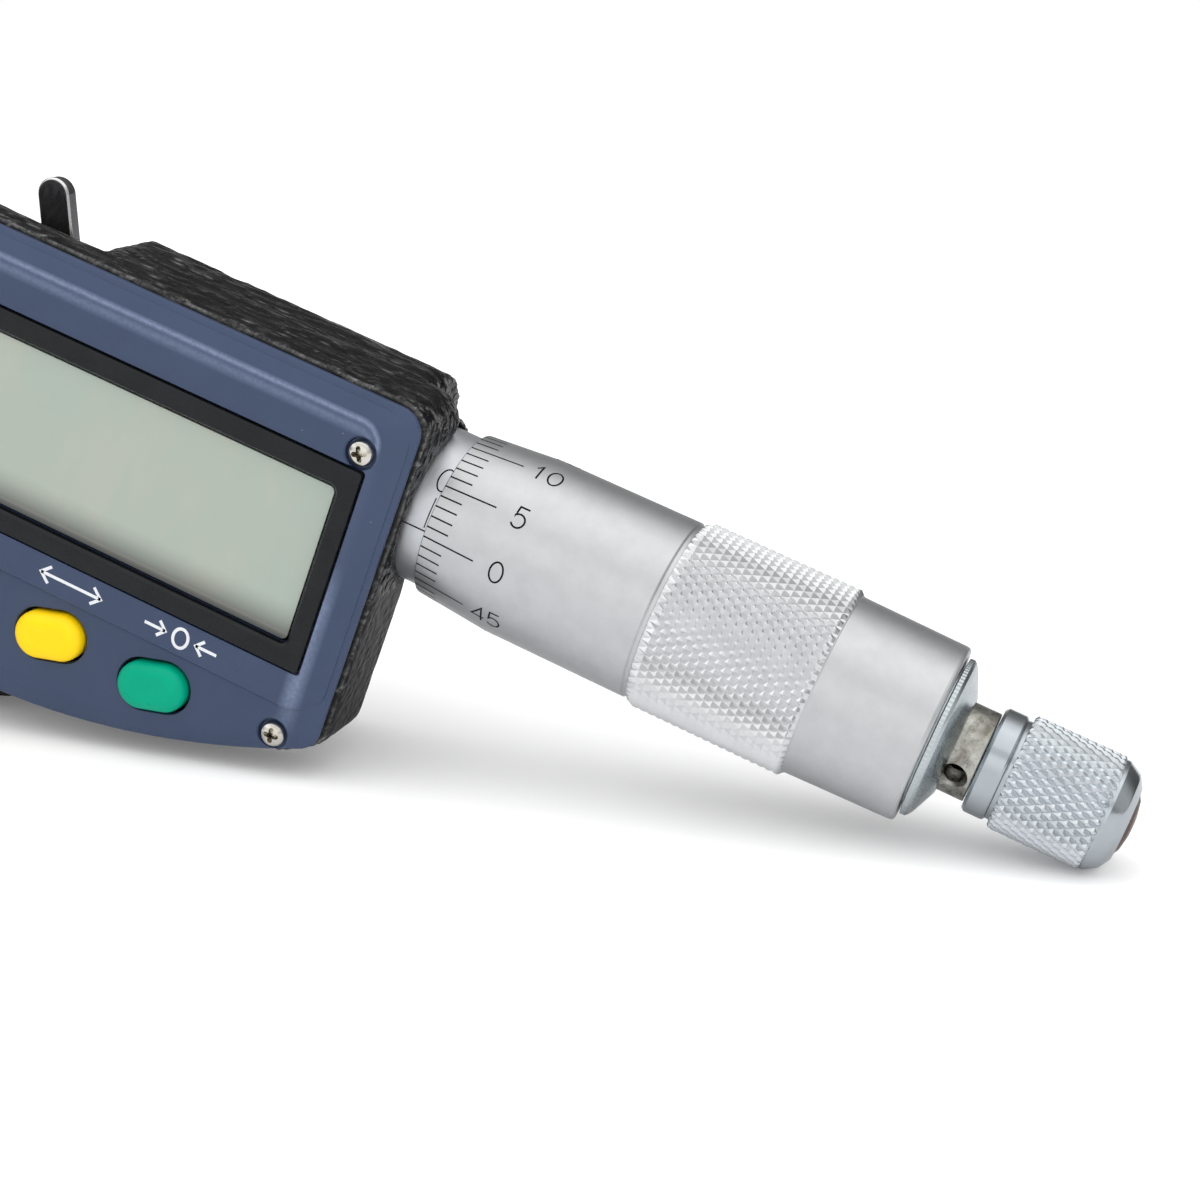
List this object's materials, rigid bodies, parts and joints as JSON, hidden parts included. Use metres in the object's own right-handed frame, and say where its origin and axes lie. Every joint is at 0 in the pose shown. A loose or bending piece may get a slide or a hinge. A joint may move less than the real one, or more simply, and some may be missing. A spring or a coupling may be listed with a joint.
{
  "type": "digital outside micrometer",
  "caption": "Outside micrometer with a U-shaped frame, a display housing with push buttons, a graduated thimble, a spindle lock lever and a ratchet stop.",
  "frame": {"origin": "the point of the housing's flat back under the spindle axis, 73 mm along the axis from the anvil's measuring face; the axis runs 9.6 mm above it", "axes": "+X along the spindle axis toward the ratchet, +Z out of the display panel, +Y up across the panel, away from the U; the micrometer lies on its back"},
  "size_m": [0.1788, 0.0591, 0.0218],
  "materials": {
    "frame": "black crackle coat",
    "anvil": "ground",
    "anvil_tip": "lapped",
    "spindle": "ground",
    "spindle_tip": "lapped",
    "sleeve": "satin chrome",
    "inner_sleeve": "turned",
    "adjusting_nut": "turned",
    "thimble": "satin chrome, knurled",
    "thimble_cap": "zinc plated",
    "ratchet_stem": "weathered steel",
    "ratchet_knob": "zinc plated, knurled",
    "ratchet_disc": "plain",
    "ratchet_pawl": "plain",
    "ratchet_spring": "plain",
    "ratchet_screw": "dark steel",
    "lock_lever": "gunmetal",
    "lock_screw": "gunmetal",
    "lock_pad": "plain",
    "front_panel": "matte blue",
    "display_bezel": "satin black",
    "lcd_module": "grey-green glass",
    "circuit_board": "solder mask",
    "button_pad": "matte",
    "encoder_stator": "solder mask",
    "encoder_rotor": "solder mask",
    "rotor_bush": "turned",
    "rotor_key": "ground",
    "button_on_off": "satin red",
    "button_units": "satin yellow",
    "button_zero": "satin green",
    "panel_screw_1": "nickel plated",
    "panel_screw_2": "nickel plated",
    "panel_screw_3": "nickel plated",
    "panel_screw_4": "nickel plated",
    "battery": "nickel plated",
    "battery_contact": "nickel plated",
    "battery_seal": "matte",
    "battery_cap": "matte black"
  },
  "bodies": {
    "frame": {"frame": "frame", "anvil": "anvil", "anvil_tip": "anvil_tip", "sleeve": "sleeve", "inner_sleeve": "inner_sleeve", "adjusting_nut": "adjusting_nut", "encoder_stator": "encoder_stator", "lock_pad": "lock_pad", "front_panel": "front_panel", "display_bezel": "display_bezel", "lcd_module": "lcd_module", "circuit_board": "circuit_board", "button_pad": "button_pad", "panel_screw_1": "panel_screw_1", "panel_screw_2": "panel_screw_2", "panel_screw_3": "panel_screw_3", "panel_screw_4": "panel_screw_4", "battery": "battery", "battery_contact": "battery_contact"},
    "rotor": {"encoder_rotor": "encoder_rotor", "rotor_bush": "rotor_bush", "rotor_key": "rotor_key"},
    "spindle": {"spindle": "spindle", "spindle_tip": "spindle_tip", "thimble": "thimble", "thimble_cap": "thimble_cap", "ratchet_stem": "ratchet_stem", "ratchet_disc": "ratchet_disc", "ratchet_screw": "ratchet_screw"},
    "ratchet": {"ratchet_knob": "ratchet_knob", "ratchet_pawl": "ratchet_pawl", "ratchet_spring": "ratchet_spring"},
    "lock": {"lock_lever": "lock_lever", "lock_screw": "lock_screw"},
    "on_off": {"button_on_off": "button_on_off"},
    "units": {"button_units": "button_units"},
    "zero": {"button_zero": "button_zero"},
    "seal": {"battery_seal": "battery_seal"},
    "cap": {"battery_cap": "battery_cap"}
  },
  "joints": [
    {"name": "thimble_spin", "type": "hinge", "parent": "frame", "child": "rotor", "pos_m": [0.002, 0, 0.0096], "axis": [1, 0, 0], "range_deg": [0, 18000]},
    {"name": "spindle_travel", "type": "slide", "parent": "rotor", "child": "spindle", "axis": [1, 0, 0], "range_m": [0, 0.025]},
    {"name": "ratchet_turn", "type": "hinge", "parent": "spindle", "child": "ratchet", "pos_m": [0.082, 0, 0.0096], "axis": [1, 0, 0], "continuous": true},
    {"name": "lock_turn", "type": "hinge", "parent": "frame", "child": "lock", "pos_m": [-0.0265, 0, 0.0022], "axis": [0, 0, 1], "range_deg": [-45, 15]},
    {"name": "press_on_off", "type": "slide", "parent": "frame", "child": "on_off", "axis": [0, 0, -1], "range_m": [0, 0.0005], "stiffness_N_per_m": 200},
    {"name": "press_units", "type": "slide", "parent": "frame", "child": "units", "axis": [0, 0, -1], "range_m": [0, 0.0005], "stiffness_N_per_m": 200},
    {"name": "press_zero", "type": "slide", "parent": "frame", "child": "zero", "axis": [0, 0, -1], "range_m": [0, 0.0005], "stiffness_N_per_m": 200},
    {"name": "battery_cap_turn", "type": "hinge", "parent": "frame", "child": "seal", "pos_m": [-0.007, -0.02, 0], "axis": [0, 0, -1], "range_deg": [0, 60]},
    {"name": "battery_cap_lift", "type": "slide", "parent": "seal", "child": "cap", "axis": [0, 0, -1], "range_m": [0, 0.012]}
  ],
  "couplings": [
    {"joint": "thimble_spin", "follows": "spindle_travel", "rad_per_m": 12566}
  ]
}
